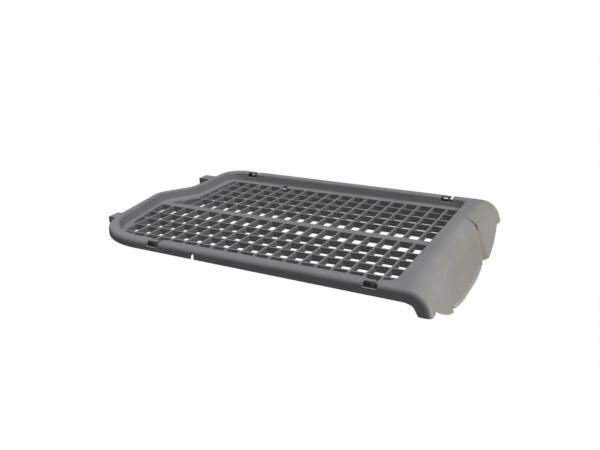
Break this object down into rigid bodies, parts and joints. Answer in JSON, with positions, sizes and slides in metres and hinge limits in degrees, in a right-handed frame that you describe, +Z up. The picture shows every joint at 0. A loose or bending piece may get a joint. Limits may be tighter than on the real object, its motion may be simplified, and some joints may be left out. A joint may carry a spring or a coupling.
{
  "type": "dryer drying rack",
  "caption": "Flat moulded rack for a tumble dryer: rib grid sunk in a raised rim, hanging front apron with recessed panel, plug-in lugs at the stepped back end.",
  "frame": {"origin": "middle of the bounding box, at the level of the apron's lower edge", "axes": "+X along the rack towards the hanging apron, +Y across the rack towards the stepped side of the back end, +Z up from the deck"},
  "size_m": [0.5166, 0.365, 0.0725],
  "materials": {
    "grey_plastic": "matte"
  },
  "bodies": {
    "root": {"drying_rack": "grey_plastic"}
  },
  "joints": []
}
